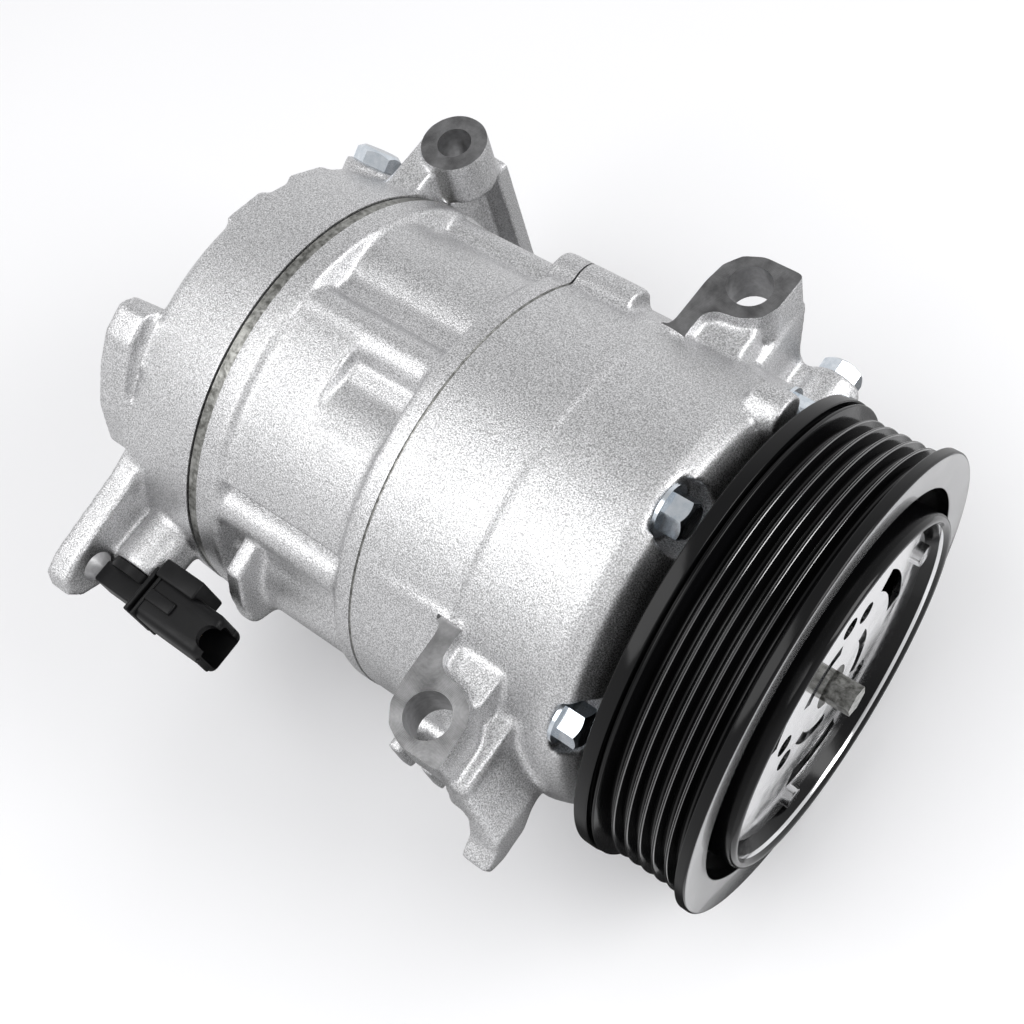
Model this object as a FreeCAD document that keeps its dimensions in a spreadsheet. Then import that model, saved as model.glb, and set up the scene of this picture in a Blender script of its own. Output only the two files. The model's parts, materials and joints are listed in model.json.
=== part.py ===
import FreeCAD, Part
import Sketcher
import math
import os

# Automotive air-conditioning compressor: swash-plate type, six pistons, six-rib belt pulley.
# X is the shaft axis with the pulley towards +X and x = 0 in the middle of the belt. +Z points up
# along the mounting ear holes. The origin is on the shaft axis in the belt's centre plane.

Vector = FreeCAD.Vector
Rotation = FreeCAD.Rotation
doc = FreeCAD.newDocument("ac_compressor")

DIMENSIONS = {
    # casing stations along the shaft and outer radii
    "nose_tip_x": 10.2,
    "nose_r": 17.5,
    "flange_x": -27.3,
    "casing_step_x": -56.8,
    "casing_joint_x": -84.8,
    "block_front_x": -85.3,
    "block_rear_x": -136.3,
    "head_front_x": -139.8,
    "head_rear_x": -166.3,
    "casing_r": 58.5,
    "end_wall_x": -31.5,
    "crankcase_r": 45.5,
    # cylinders and pistons
    "piston_circle_r": 36.0,
    "cylinder_r": 15.5,
    "piston_r": 15.42,
    "scallop_r": 16.4,
    "bore_wall_r": 21.8,
    "bolt_rib_r": 6.2,
    "valley_r": 53.5,
    "panel_r": 57.8,
    "crown_x": -135.8,
    # swash plate and shoes
    "swash_x": -76.0,
    "swash_r": 43.5,
    "swash_half": 4.0,
    "swash_bore_r": 13.5,
    "shoe_ball_r": 9.5,
    "shoe_gap": 0.35,
    "slot_half": 9.9,
    # through bolts
    "bolt_circle_r": 52.0,
    "bolt_r": 3.0,
    "bolt_hole_r": 3.3,
    "bolt_flange_r": 6.6,
    "bolt_end_x": -154.0,
    "head_pocket_r": 8.3,
    # shaft and its bearings
    "shaft_r": 8.0,
    "bearing_bore_r": 12.5,
    "running_gap": 0.05,
    # pulley
    "rib_pitch": 3.56,
    "rib_crest_r": 59.6,
    "rib_depth": 2.8,
    "pulley_r": 61.8,
    "pulley_front_x": 13.7,
    "pulley_rear_x": -16.3,
    "rim_inner_r": 52.5,
    "race_outer_r": 26.0,
    "race_front_x": 8.0,
    "race_rear_x": -12.0,
    "ball_circle_r": 21.75,
    "ball_r": 2.4,
    # hub
    "hub_lip_x": 17.1,
    "hub_ring_r": 47.5,
    "hub_plate_x": 11.0,
    "hub_plate_thick": 1.8,
    "stub_end_x": 19.7,
    "hex_flats": 7.0,
    # mounting ears, all with holes along Z and one machined plane
    "ear_top_z": 39.0,
    "ear_y": 63.75,
    "ear_front_x": -48.3,
    "ear_rear_x": -139.8,
    "ear_low_z": 26.0,
    "rear_ear_low_z": 24.3,
    "ear_hole_r": 5.7,
    "rear_ear_hole_r": 4.6,
    # rear lug, a flat fin across the shaft axis
    "lug_rear_x": -165.3,
    "lug_front_x": -157.9,
    "lug_hole_y": -77.0,
    "lug_hole_z": 13.0,
    "lug_hole_r": 4.3,
    # two hexagon plugs screwed in towards the shaft
    "plug_stem_r": 4.0,
    "relief_x": -159.5,
    "relief_seat_r": 60.0,
    "oil_plug_x": -28.5,
    "oil_plug_seat_r": 69.5,
    # ports, on the +Y side of the rear casing
    "port_x": -148.0,
    "port_face_y": 73.0,
    "port_step_y": 53.0,
    "suction_z": 13.0,
    "suction_r": 7.0,
    "discharge_z": -15.0,
    "discharge_r": 5.5,
    "port_bolt_z": -3.0,
    # control valve, lying along -Y
    "valve_x": -149.4,
    "valve_z": 8.0,
    "valve_r": 5.5,
    "valve_boss_y": -72.0,
    "plunger_r": 2.15,
}
PISTONS = 6
PISTON_ANGLES = [30 + 60 * i for i in range(PISTONS)]
BOLT_ANGLES = [60 * i for i in range(6)]
RIB_GROOVES = 6
BALLS_PER_ROW = 12
BALL_ROWS = (-7.0, 3.0)
RELIEF_ANGLE = -58
OIL_PLUG_ANGLE = -88
BACK_RIB_ANGLES = (-96, -48, 0, 96, 144, 192)

# Corners of a front ear's machined face, measured from its hole: along the shaft, and outward.
EAR_OUTLINE = [
    (-10.6, -19.8), (-5.7, -19.8), (-5.5, -12.2), (-3.2, -10.0), (2.8, -9.0), (7.1, -6.4), (9.1, -2.2),
    (9.7, 8.8), (-1.2, 8.8), (-6.2, 6.5), (-9.1, 2.2), (-10.1, -3.8),
]
# Corners of the plates that stand across the shaft axis, as (y, z).
FOOT_OUTLINE = [
    (-50, 26), (-72.5, 24), (-74.5, 12), (-77, 3), (-81.5, 0), (-80.5, -4.5), (-76, -6.5), (-67, -6),
    (-62, -1), (-50, 2),
]
NEAR_WEB_OUTLINE = [(-45, 26.5), (-72, 26.5), (-74, 12), (-60, 0), (-50, -2)]
FAR_WEB_OUTLINE = [(45, 26.5), (73.5, 26.5), (72.3, 20), (70.2, 10), (70.5, -6), (50, -10)]
BLOCK_FIN_OUTLINE = [(-50, 22), (-60, 19), (-63.5, 10), (-65, 0), (-63.5, -3), (-56, -7), (-50, -10)]
REAR_LUG_OUTLINE = [
    (-44, 29), (-57, 25), (-80, 21.5), (-86, 19), (-87.5, 14), (-85, 9), (-70, 1), (-44, -12),
]
REAR_BOSS_OUTLINE = [
    (-15, 38), (-21, 54), (-25, 56.5), (-32.5, 53.5), (-39, 46.5), (-45.5, 37), (-49.5, 24), (-40, 14),
    (-25, 20),
]

AXES = {
    "X": Rotation(Vector(0, 0, 1), Vector(1, 0, 0)),
    "Y": Rotation(Vector(0, 0, 1), Vector(0, 1, 0)),
    "-Y": Rotation(Vector(0, 0, 1), Vector(0, -1, 0)),
    "Z": Rotation(),
}


class Size:
    """A number together with the spreadsheet expression that gives it."""

    def __init__(self, value, text):
        self.value = value
        self.text = text

    def joined(self, other, sign, swapped=False):
        other = size(other)
        left, right = (other, self) if swapped else (self, other)
        results = {
            "+": left.value + right.value,
            "-": left.value - right.value,
            "*": left.value * right.value,
        }
        return Size(results[sign], f"({left.text} {sign} {right.text})")

    def __add__(self, other):
        return self.joined(other, "+")

    def __radd__(self, other):
        return self.joined(other, "+", True)

    def __sub__(self, other):
        return self.joined(other, "-")

    def __rsub__(self, other):
        return self.joined(other, "-", True)

    def __mul__(self, other):
        return self.joined(other, "*")

    def __rmul__(self, other):
        return self.joined(other, "*", True)

    def __neg__(self):
        return self.joined(-1.0, "*")


def size(number):
    if isinstance(number, Size):
        return number
    return Size(float(number), f"({float(number):.9g})")


class Sheet:
    """The driving dimensions, each readable as an attribute that gives a Size."""

    def __init__(self, dimensions):
        sheet = doc.addObject("Spreadsheet::Sheet", "Dims")
        for row, (name, number) in enumerate(dimensions.items(), 1):
            sheet.set(f"A{row}", name)
            sheet.set(f"B{row}", str(number))
            sheet.setAlias(f"B{row}", name)
            setattr(self, name, Size(float(number), f"Dims.{name}"))


d = Sheet(DIMENSIONS)
doc.recompute()
sub_parts = {}


# ---------- building blocks ----------


def bind(thing, **properties):
    for name, number in properties.items():
        number = size(number)
        setattr(thing, name, number.value)
        thing.setExpression(name, number.text)


def put(thing, at, rotation):
    at = [size(a) for a in at]
    thing.Placement = FreeCAD.Placement(Vector(*[a.value for a in at]), rotation)
    for letter, a in zip("xyz", at):
        thing.setExpression(f".Placement.Base.{letter}", a.text)
    return thing


def cylinder(r, length, at, axis="X"):
    thing = doc.addObject("Part::Cylinder", "cylinder")
    bind(thing, Radius=r, Height=length)
    return put(thing, at, AXES[axis])


def box(low, high):
    low = [size(a) for a in low]
    high = [size(a) for a in high]
    thing = doc.addObject("Part::Box", "box")
    bind(thing, Length=high[0] - low[0], Width=high[1] - low[1], Height=high[2] - low[2])
    return put(thing, low, Rotation())


def ball(r, at):
    thing = doc.addObject("Part::Sphere", "ball")
    bind(thing, Radius=r)
    return put(thing, at, Rotation())


def ring(big_r, small_r, at, axis="X"):
    thing = doc.addObject("Part::Torus", "ring")
    bind(thing, Radius1=big_r, Radius2=small_r)
    return put(thing, at, AXES[axis])


def hexagon(flats, length, at, rotation):
    thing = doc.addObject("Part::Prism", "hexagon")
    thing.Polygon = 6
    bind(thing, Circumradius=size(flats) * (1 / math.sqrt(3)), Height=length)
    return put(thing, at, rotation)


def fuse(*things):
    thing = doc.addObject("Part::MultiFuse", "joined")
    thing.Shapes = list(things)
    return thing


def cut(base, *tools):
    thing = doc.addObject("Part::Cut", "trimmed")
    thing.Base = base
    thing.Tool = tools[0] if len(tools) == 1 else fuse(*tools)
    return thing


def group(*things):
    thing = doc.addObject("Part::Compound", "group")
    thing.Links = list(things)
    return thing


def origin_feature(body, role):
    return [f for f in body.Origin.OriginFeatures if f.Role == role][0]


def outline_sketch(body, plane, outline):
    """Straight lines through the outline's corners, on one of the body's own planes."""
    sketch = body.newObject("Sketcher::SketchObject", body.Name + "_outline")
    sketch.AttachmentSupport = [(origin_feature(body, plane), "")]
    sketch.MapMode = "FlatFace"
    corners = [(size(a), size(b)) for a, b in outline]
    points = [Vector(a.value, b.value, 0) for a, b in corners]
    count = len(points)
    for i in range(count):
        sketch.addGeometry(Part.LineSegment(points[i], points[(i + 1) % count]), False)
    for i in range(count):
        sketch.addConstraint(Sketcher.Constraint("Coincident", i, 2, (i + 1) % count, 1))
    for i, corner in enumerate(corners):
        for kind, number in zip(("DistanceX", "DistanceY"), corner):
            k = sketch.addConstraint(Sketcher.Constraint(kind, -1, 1, i, 1, number.value))
            sketch.setExpression(f"Constraints[{k}]", number.text)
    return sketch


def turned(name, outline):
    """A body of revolution. The outline lists (along the shaft, radius) corners."""
    body = doc.addObject("PartDesign::Body", name)
    sketch = outline_sketch(body, "XY_Plane", outline)
    doc.recompute()
    feature = body.newObject("PartDesign::Revolution", name + "_turned")
    feature.Profile = sketch
    feature.ReferenceAxis = (origin_feature(body, "X_Axis"), [""])
    feature.Angle = 360
    return body


def plate(name, plane, outline, start, length):
    """A flat plate: an outline on the XY or YZ plane, moved to start and padded by length."""
    body = doc.addObject("PartDesign::Body", name)
    sketch = outline_sketch(body, plane, outline)
    start = size(start)
    sketch.AttachmentOffset = FreeCAD.Placement(Vector(0, 0, start.value), Rotation())
    sketch.setExpression(".AttachmentOffset.Base.z", start.text)
    doc.recompute()
    feature = body.newObject("PartDesign::Pad", name + "_pad")
    feature.Profile = sketch
    bind(feature, Length=length)
    return body


def polar(radius, angle):
    """(y, z) at a radius and an angle counted from +Z towards -Y."""
    turn = math.radians(angle)
    return size(radius) * -math.sin(turn), size(radius) * math.cos(turn)


def disc(x0, x1, outer_r, inner_r):
    """A flat washer between two stations on the shaft axis."""
    outer = cylinder(outer_r, size(x1) - x0, (x0, 0, 0))
    return cut(outer, cylinder(inner_r, size(x1) - x0, (x0, 0, 0)))


def sector(x0, x1, outer_r, inner_r, start, sweep):
    """A part of a flat ring that covers a sweep of angle from a start angle."""
    length = size(x1) - x0
    wedge = doc.addObject("Part::Cylinder", "wedge")
    bind(wedge, Radius=outer_r, Height=length)
    wedge.Angle = sweep
    put(wedge, (x0, 0, 0), outward(start + 180) * AXES["X"])
    return cut(wedge, cylinder(inner_r, length, (x0, 0, 0)))


def drilled(x0, x1, hole_r, angles, radius):
    """Cylinders along X on a circle, used as holes."""
    return [cylinder(hole_r, size(x1) - x0, (x0, *polar(radius, angle))) for angle in angles]


def outward(angle):
    """The rotation that turns +Z away from the shaft, at an angle from +Z towards -Y."""
    return Rotation(Vector(1, 0, 0), angle)


def spoke(r, x, angle, inner_r, outer_r):
    """A cylinder that points away from the shaft."""
    thing = doc.addObject("Part::Cylinder", "spoke")
    bind(thing, Radius=r, Height=size(outer_r) - inner_r)
    return put(thing, (x, *polar(inner_r, angle)), outward(angle))


def pad(angle, inner_r, outer_r, width, x0, x1):
    """A flat-topped block that faces away from the shaft."""
    thing = doc.addObject("Part::Box", "pad")
    bind(thing, Length=size(x1) - x0, Width=width, Height=size(outer_r) - inner_r)
    floor_y, floor_z = polar(inner_r, angle)
    side_y, side_z = polar(size(width) * 0.5, angle - 90)
    return put(thing, (x0, floor_y - side_y, floor_z - side_z), outward(angle))


def slanted_box(corner, lengths, angle):
    """A box turned about Y, so that its length falls away towards -Z as it goes along +X."""
    thing = doc.addObject("Part::Box", "slanted_box")
    bind(thing, Length=lengths[0], Width=lengths[1], Height=lengths[2])
    return put(thing, corner, Rotation(Vector(0, 1, 0), angle))


def sub_part(name, thing):
    thing.Label = name
    sub_parts[name] = thing
    return thing


def bolt_holes(x0, x1, hole_r=None):
    return drilled(x0, x1, hole_r or d.bolt_hole_r, BOLT_ANGLES, d.bolt_circle_r)


def scallops(x0, x1):
    return drilled(x0, x1, d.scallop_r, PISTON_ANGLES, d.piston_circle_r)


# ---------- casings ----------


def ear(side):
    """One front ear, with the lower cast block beside its neck."""
    corners = [(d.ear_front_x + x, (d.ear_y + y) * side) for x, y in EAR_OUTLINE]
    height = d.ear_top_z - d.ear_low_z
    face = plate("ear", "XY_Plane", corners, d.ear_low_z, height)
    inner, outer = sorted((40 * side, 55.5 * side))
    block = box((d.ear_front_x - 5, inner, 18), (d.ear_front_x + 7.5, outer, 35.5))
    return fuse(face, block)


def front_housing():
    outside = turned("front_shell", [
        (d.casing_joint_x, 0), (d.nose_tip_x, 0), (d.nose_tip_x, d.nose_r - 0.6),
        (d.nose_tip_x - 0.6, d.nose_r), (d.race_rear_x, d.nose_r), (d.race_rear_x, 19.5),
        (-18, 22), (-18, 39), (-19, 46), (-21.5, 52), (-25, 56.5), (-30, d.casing_r - 0.3),
        (d.casing_step_x, d.casing_r - 0.3), (d.casing_step_x - 0.5, d.casing_r + 0.5),
        (d.casing_joint_x, d.casing_r + 0.5),
    ])
    foot_plate = plate("foot", "YZ_Plane", FOOT_OUTLINE, -37, 8)
    foot = cut(foot_plate, slanted_box((-37, -90, 26), (26, 45, 12), 69))
    near_web = plate("near_web", "YZ_Plane", NEAR_WEB_OUTLINE, -42.2, 7)
    far_web = plate("far_web", "YZ_Plane", FAR_WEB_OUTLINE, -42.2, 3.6)
    plug_web = box((-40, 50, -6), (d.oil_plug_x, 69, 6))
    plug_boss = spoke(7.3, d.oil_plug_x, OIL_PLUG_ANGLE, 50, d.oil_plug_seat_r)
    slot_lug = box((-70, -70, -18), (-56, -50, -4))
    lobe = cylinder(7, 15.8, (d.casing_joint_x, *polar(57, -52)))
    lump = cylinder(6, 9.5, (-29, *polar(56.5, -38)))
    cast = fuse(outside, ear(1), ear(-1), foot, near_web, far_web, plug_web, plug_boss, slot_lug,
                lobe, lump)
    inside = turned("front_core", [
        (d.casing_joint_x - 1, 0), (d.casing_joint_x - 1, d.crankcase_r),
        (d.end_wall_x, d.crankcase_r), (d.end_wall_x, d.bearing_bore_r),
        (-16.5, d.bearing_bore_r), (-16.5, 9.5), (-14.5, 9.5), (-14.5, 11.5), (-3.6, 11.5),
        (-3.6, 12.3), (-2.2, 12.3), (-2.2, 11.5), (d.nose_tip_x + 1, 11.5),
        (d.nose_tip_x + 1, 0),
    ])
    circlip_groove = disc(d.race_front_x, d.race_front_x + 1.3, d.nose_r + 1, d.nose_r - 0.9)
    tools = [inside, circlip_groove]
    tools += scallops(d.casing_joint_x - 1, d.end_wall_x)
    tools += bolt_holes(d.casing_joint_x - 1, d.flange_x + 1)
    tools += bolt_holes(d.flange_x, -17, d.head_pocket_r)
    for side in (1, -1):
        tools.append(cylinder(d.ear_hole_r, 130, (d.ear_front_x, d.ear_y * side, -65), "Z"))
    tools.append(spoke(d.plug_stem_r, d.oil_plug_x, OIL_PLUG_ANGLE, 53, d.oil_plug_seat_r + 1))
    tools.append(box((-66, -72, -19), (-60, -62, -3)))
    sub_part("front_housing", cut(cast, *tools))


def cylinder_block():
    """Rounded walls follow the six bores, with a rib along each bolt and a band at each end."""
    band = d.casing_r + 0.8
    outside = turned("block_shell", [
        (d.block_rear_x, 0), (d.block_front_x, 0), (d.block_front_x, band), (-90.3, band),
        (-91.5, d.valley_r), (-128.6, d.valley_r), (-130.2, band), (d.block_rear_x, band),
    ])
    walls = drilled(-130, -90, d.bore_wall_r, PISTON_ANGLES, d.piston_circle_r)
    ribs = drilled(-130, -90, d.bolt_rib_r, BOLT_ANGLES, d.bolt_circle_r)
    smooth_rear = sector(-130, -111, d.panel_r, 40, 3, 23)
    smooth_side = sector(-130, -90, d.panel_r, 40, 25, 26)
    fin = plate("block_fin", "YZ_Plane", BLOCK_FIN_OUTLINE, -124, 5)
    lobe = cylinder(7, 7.7, (-93, *polar(57, -52)))
    cast = fuse(outside, *walls, *ribs, smooth_rear, smooth_side, fin, lobe)
    front, rear = d.block_front_x + 1, d.block_rear_x - 1
    tools = drilled(rear, front, d.cylinder_r, PISTON_ANGLES, d.piston_circle_r)
    tools += bolt_holes(rear, front)
    tools.append(cylinder(d.bearing_bore_r, front + 124, (-124, 0, 0)))
    tools.append(cylinder(5, 14, (d.block_rear_x - 1, 0, 0)))
    sub_part("cylinder_block", cut(cast, *tools))


def port_bores():
    """Each port is a wide seat for the hose spigot and a narrower passage behind it."""
    bores = []
    for z, r in ((d.suction_z, d.suction_r), (d.discharge_z, d.discharge_r)):
        bores.append(cylinder(r, d.port_face_y - d.port_step_y + 1, (d.port_x, d.port_step_y, z), "Y"))
        bores.append(cylinder(r - 1, d.port_step_y - 18, (d.port_x, 18, z), "Y"))
    bores.append(cylinder(3.3, 13, (d.port_x, d.port_face_y - 12, d.port_bolt_z), "Y"))
    return bores


def rear_housing():
    outside = turned("rear_shell", [
        (d.head_rear_x, 0), (d.head_rear_x, 51), (d.head_rear_x + 1.2, 54.6),
        (d.head_rear_x + 4, 57.6), (d.head_front_x, d.casing_r + 0.8), (d.head_front_x, 0),
    ])
    ear_height = d.ear_top_z - d.rear_ear_low_z
    ear_boss = cylinder(9, ear_height, (d.ear_rear_x, d.ear_y, d.rear_ear_low_z), "Z")
    ear_neck = box((-150, 40, d.rear_ear_low_z), (-140.2, 66, 37.5))
    port_neck = box((-158, 40, -32), (-140.2, 69, 22))
    port_flange = box((-157, 68.6, -34), (-133, d.port_face_y, 24))
    lug_thick = d.lug_front_x - d.lug_rear_x
    lug = plate("rear_lug", "YZ_Plane", REAR_LUG_OUTLINE, d.lug_rear_x, lug_thick)
    boss = plate("rear_boss", "YZ_Plane", REAR_BOSS_OUTLINE, d.head_rear_x - 7, 9.5)
    relief_boss = spoke(8, d.relief_x, RELIEF_ANGLE, 44, d.relief_seat_r)
    valve_boss = cylinder(8.2, 28, (d.valve_x, d.valve_boss_y + 28, d.valve_z), "-Y")
    pads = [pad(angle, 50, 57.6, 13, -165, -159.3) for angle in (-36, -14, 30, 52)]
    back_x = d.head_rear_x - 2.4
    ribs = [pad(angle, 10, 47, 4, back_x, d.head_rear_x + 1) for angle in BACK_RIB_ANGLES]
    ribs.append(cylinder(15, 3.4, (back_x, 0, 0)))
    cast = fuse(outside, ear_boss, ear_neck, port_neck, port_flange, lug, boss, relief_boss,
                valve_boss, *pads, *ribs)
    chambers = turned("rear_chambers", [
        (d.head_front_x + 1, 30), (d.head_front_x + 1, 47), (-157, 47), (-157, 30),
    ])
    centre = cylinder(26, 18.2, (-157, 0, 0))
    hollow = cut(cast, chambers, centre)
    discharge_tube = cylinder(7.4, 30, (d.port_x, 22, d.discharge_z), "Y")
    suction_tube = cylinder(8, 20, (d.port_x, 32, d.suction_z), "Y")
    valve_tube = cylinder(8.2, 32, (d.valve_x, -22, d.valve_z), "-Y")
    bored = [
        cylinder(d.valve_r, 58, (d.valve_x, -18, d.valve_z), "-Y"),
        cylinder(d.rear_ear_hole_r, 18, (d.ear_rear_x, d.ear_y, d.rear_ear_low_z - 0.3), "Z"),
        cylinder(d.lug_hole_r, 12, (-167, d.lug_hole_y, d.lug_hole_z)),
        spoke(d.plug_stem_r, d.relief_x, RELIEF_ANGLE, 42, d.relief_seat_r + 1),
        *bolt_holes(d.bolt_end_x, d.head_front_x + 1, d.bolt_r),
        *port_bores(),
    ]
    sub_part("rear_housing", cut(fuse(hollow, discharge_tube, suction_tube, valve_tube), *bored))


# ---------- hexagon plugs screwed in towards the shaft ----------


def screwed_plug(name, x, angle, inner_r, seat_r, flats, head):
    stem = spoke(d.plug_stem_r, x, angle, inner_r, seat_r)
    hex_head = hexagon(flats, head, (x, *polar(seat_r, angle)), outward(angle))
    sub_part(name, fuse(stem, hex_head))


def plugs():
    screwed_plug("pressure_relief_valve", d.relief_x, RELIEF_ANGLE, 44, d.relief_seat_r, 11, 4.5)
    screwed_plug("oil_plug", d.oil_plug_x, OIL_PLUG_ANGLE, 54, d.oil_plug_seat_r, 11.5, 5.0)


# ---------- joint between block and rear casing ----------


def valve_pack():
    """The thin layers between block and rear casing, from the block backwards."""
    metal_edge = d.casing_r + 0.2
    gasket_edge = d.casing_r - 0.4
    front, rear = d.block_rear_x + 1, d.head_front_x - 1
    gasket_x = d.block_rear_x - 0.3
    reed_x = d.block_rear_x - 0.6
    plate_x = d.head_front_x + 0.4
    outlets, inlets = 23, 38

    def layer(edge, x0, x1, *holes):
        return cut(cylinder(edge, size(x1) - x0, (x0, 0, 0)), *holes, *bolt_holes(rear, front))

    def through(hole_r, radius):
        return drilled(rear, front, hole_r, PISTON_ANGLES, radius)

    bores = through(d.cylinder_r, d.piston_circle_r)
    sub_part("block_gasket", layer(gasket_edge, gasket_x, d.block_rear_x, *bores))
    slits = []
    for y, z in (polar(inlets, angle) for angle in PISTON_ANGLES):
        circle = cut(cylinder(5.6, 2, (gasket_x - 1, y, z)), cylinder(5.1, 2, (gasket_x - 1, y, z)))
        hinge = box((gasket_x - 2, y - 2.5, z - 2.5), (front, y + 2.5, z + 6))
        slits.append(cut(circle, hinge))
    sub_part("suction_reed", layer(metal_edge, reed_x, gasket_x, *slits, *through(2.6, outlets)))
    ports = [*through(2.0, outlets), *through(4.0, inlets)]
    sub_part("valve_plate", layer(metal_edge, plate_x, reed_x, *ports))
    petals = [cylinder(3.4, 0.3, (plate_x - 0.3, *polar(22.2, a))) for a in PISTON_ANGLES]
    spokes = [cylinder(3.4, 0.3, (plate_x - 0.3, *polar(16, a))) for a in PISTON_ANGLES]
    sub_part("discharge_reed", fuse(cylinder(14, 0.3, (plate_x - 0.3, 0, 0)), *petals, *spokes))
    sub_part("reed_retainer", cylinder(24, 1.2, (plate_x - 1.5, 0, 0)))
    centre = cylinder(26, 2, (d.head_front_x - 0.5, 0, 0))
    rear_holes = through(6.0, inlets)
    sub_part("head_gasket", layer(gasket_edge, d.head_front_x, plate_x, centre, *rear_holes))
    front, rear = d.casing_joint_x + 1, d.block_front_x - 1
    ring_shape = disc(d.block_front_x, d.casing_joint_x, d.casing_r + 0.4, d.crankcase_r)
    sub_part("crankcase_gasket", cut(ring_shape, *scallops(rear, front), *bolt_holes(rear, front)))


def housing_bolts():
    bolts = []
    for y, z in (polar(d.bolt_circle_r, angle) for angle in BOLT_ANGLES):
        shank = cylinder(d.bolt_r, d.flange_x - d.bolt_end_x, (d.bolt_end_x, y, z))
        washer = cylinder(d.bolt_flange_r, 1.7, (d.flange_x, y, z))
        head = hexagon(9, 6.6, (d.flange_x, y, z), AXES["X"])
        bolts.append(fuse(shank, washer, head))
    sub_part("housing_bolts", group(*bolts))


# ---------- shaft line ----------


def shaft_line():
    stub_x = d.stub_end_x - 8
    core = turned("shaft_core", [
        (-122, 0), (-122, 7), (-121, d.shaft_r), (-1, d.shaft_r), (-1, 6), (stub_x, 6), (stub_x, 0),
    ])
    stub = hexagon(d.hex_flats, 8.0, (stub_x, 0, 0), AXES["X"])
    sub_part("drive_shaft", fuse(core, stub))
    bore = d.shaft_r + d.running_gap
    sub_part("front_radial_bearing", disc(-31, -17, d.bearing_bore_r, bore))
    sub_part("rear_radial_bearing", disc(-118, -104, d.bearing_bore_r, bore))
    sub_part("front_thrust_bearing", disc(-34.45, d.end_wall_x, 22, 10.5))
    sub_part("shaft_seal", disc(-14.5, -4, 11.5, bore))
    sub_part("seal_snap_ring", disc(-3.5, -2.3, 12.3, 9))
    plate = disc(-39.8, -34.5, 34, d.shaft_r)
    arms = []
    for side in (1, -1):
        inner, outer = sorted((5.0 * side, 9.0 * side))
        arms.append(box((-52, inner, 11), (-39.8, outer, 17)))
    sub_part("rotor_lug_plate", fuse(plate, *arms))


def swash_plate():
    rear, front = d.swash_x - d.swash_half, d.swash_x + d.swash_half
    plate = turned("swash_disc", [
        (rear - 3, d.swash_bore_r), (front, d.swash_bore_r), (front, d.swash_r),
        (rear, d.swash_r), (rear, 19), (rear - 3, 19),
    ])
    tongue = box((front, -3, 14.5), (front + 10, 3, 18.5))
    sub_part("swash_plate", fuse(plate, tongue))


def pistons():
    front_x = d.swash_x + d.slot_half + 4
    for number, angle in enumerate(PISTON_ANGLES, 1):
        y, z = polar(d.piston_circle_r, angle)
        barrel = cylinder(d.piston_r, front_x - d.crown_x, (d.crown_x, y, z))
        slot = disc(d.swash_x - d.slot_half, d.swash_x + d.slot_half, 45, 1)
        open_barrel = cut(barrel, slot)
        bosses = []
        for low, high in ((-d.slot_half, -7.2), (7.2, d.slot_half)):
            low, high = size(low), size(high)
            bosses.append(cylinder(7.5, high - low, (d.swash_x + low, y, z)))
        socket = ball(d.shoe_ball_r + 0.06, (d.swash_x, y, z))
        groove = cut(cylinder(17, 2, (-132, y, z)), cylinder(14.2, 2, (-132, y, z)))
        piston = cut(fuse(open_barrel, *bosses), socket, groove)
        sub_part(f"piston_{number}", piston)
        ring_out = cylinder(d.piston_r + 0.04, 1.9, (-131.95, y, z))
        sub_part(f"piston_ring_{number}", cut(ring_out, cylinder(14.2, 1.9, (-131.95, y, z))))
        gap = d.swash_half + d.shoe_gap
        slab = cylinder(12, gap * 2, (d.swash_x - gap, y, z))
        sub_part(f"shoe_pair_{number}", cut(ball(d.shoe_ball_r, (d.swash_x, y, z)), slab))


# ---------- pulley, its bearing and the hub ----------


def pulley():
    crest = d.rib_crest_r
    outline = [
        (d.pulley_rear_x, 54), (d.pulley_rear_x, d.pulley_r), (-12.8, d.pulley_r), (-12.8, crest - 0.6),
        (-11.6, crest - 0.6), (-11.6, d.pulley_r - 0.3), (-10.9, d.pulley_r - 0.3),
    ]
    for i in range(RIB_GROOVES):
        centre = d.rib_pitch * (i - (RIB_GROOVES - 1) / 2)
        floor = crest - d.rib_depth
        outline += [(centre - 1.43, crest), (centre - 0.4, floor)]
        outline += [(centre + 0.4, floor), (centre + 1.43, crest)]
    outline += [
        (10.9, d.pulley_r), (d.pulley_front_x - 0.5, d.pulley_r), (d.pulley_front_x, d.pulley_r - 0.5),
        (d.pulley_front_x - 0.5, d.rim_inner_r), (-1, d.rim_inner_r), (-1, 31), (d.race_front_x, 31),
        (d.race_front_x, d.race_outer_r), (d.race_rear_x, d.race_outer_r), (d.race_rear_x, 31),
        (-6, 31), (-6, 54),
    ]
    sub_part("pulley", turned("pulley_rim", outline))


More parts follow.
